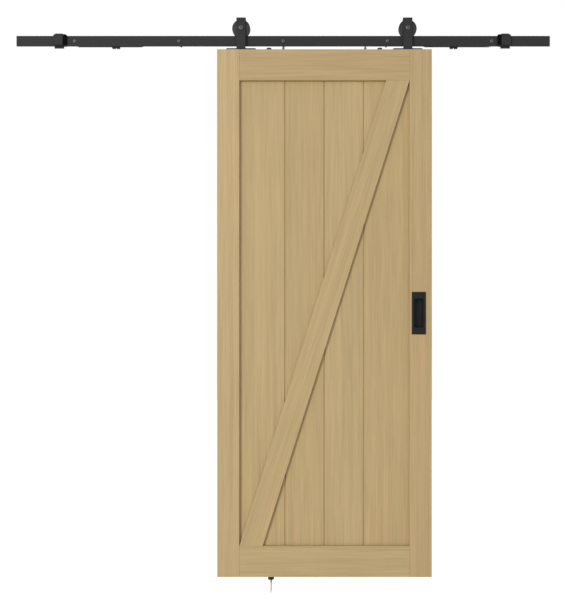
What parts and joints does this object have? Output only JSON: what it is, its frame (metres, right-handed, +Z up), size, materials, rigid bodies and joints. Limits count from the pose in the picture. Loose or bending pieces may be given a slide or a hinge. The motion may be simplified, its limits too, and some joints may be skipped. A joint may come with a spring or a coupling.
{
  "type": "sliding barn door",
  "caption": "Plank door with a diagonal brace and flush pull, hung by wheel hangers from a flat steel wall rail with soft-close catches, end stops and a floor guide.",
  "frame": {"origin": "on the wall plane, at the middle of the middle wall spacer's back face, at the rail's mid height", "axes": "+X to the right along the wall, +Y into the wall, +Z up; the door's front faces -Y"},
  "size_m": [2.072, 0.098, 2.2308],
  "materials": {
    "black_steel": "matt powder coat",
    "black_bolts": "satin black oxide",
    "grey_pins": "zinc plated",
    "black_cast": "satin powder coat",
    "black_wheel": "moulded nylon",
    "black_plastic": "moulded",
    "pale_plastic": "moulded nylon",
    "rubber": "matt",
    "pine": "planed and oiled pine"
  },
  "bodies": {
    "track": {"rail": "black_steel", "wall_spacers": "black_steel", "wall_bolts": "black_bolts", "left_stop": "black_steel", "left_bumper": "rubber", "left_damper_housing": "black_steel", "left_damper_catch": "black_plastic", "right_stop": "black_steel", "right_bumper": "rubber", "right_damper_housing": "black_steel", "right_damper_catch": "black_plastic", "floor_guide": "black_plastic", "floor_guide_screws": "black_bolts", "floor_guide_plugs": "pale_plastic"},
    "door_leaf": {"left_stile": "pine", "right_stile": "pine", "top_rail": "pine", "bottom_rail": "pine", "plank_1": "pine", "plank_2": "pine", "plank_3": "pine", "plank_4": "pine", "front_brace": "pine", "back_brace": "pine", "pull_handle": "black_cast", "hangers": "black_steel", "hanger_plates": "black_steel", "axle_bolts": "black_bolts", "catch_pins": "grey_pins", "jump_discs": "black_plastic"},
    "left_wheel": {"left_wheel": "black_wheel"},
    "right_wheel": {"right_wheel": "black_wheel"}
  },
  "joints": [
    {"name": "door_slide", "type": "slide", "parent": "track", "child": "door_leaf", "axis": [1, 0, 0], "range_m": [-0.63, 0.315]},
    {"name": "left_wheel_roll", "type": "hinge", "parent": "door_leaf", "child": "left_wheel", "pos_m": [-0.163, -0.033, 0.0471], "axis": [0, 1, 0], "range_deg": [-1352, 679]},
    {"name": "right_wheel_roll", "type": "hinge", "parent": "door_leaf", "child": "right_wheel", "pos_m": [0.483, -0.033, 0.0471], "axis": [0, 1, 0], "range_deg": [-1352, 679]}
  ],
  "couplings": [
    {"joint": "left_wheel_roll", "follows": "door_slide", "rad_per_m": 37.313},
    {"joint": "right_wheel_roll", "follows": "door_slide", "rad_per_m": 37.313}
  ]
}
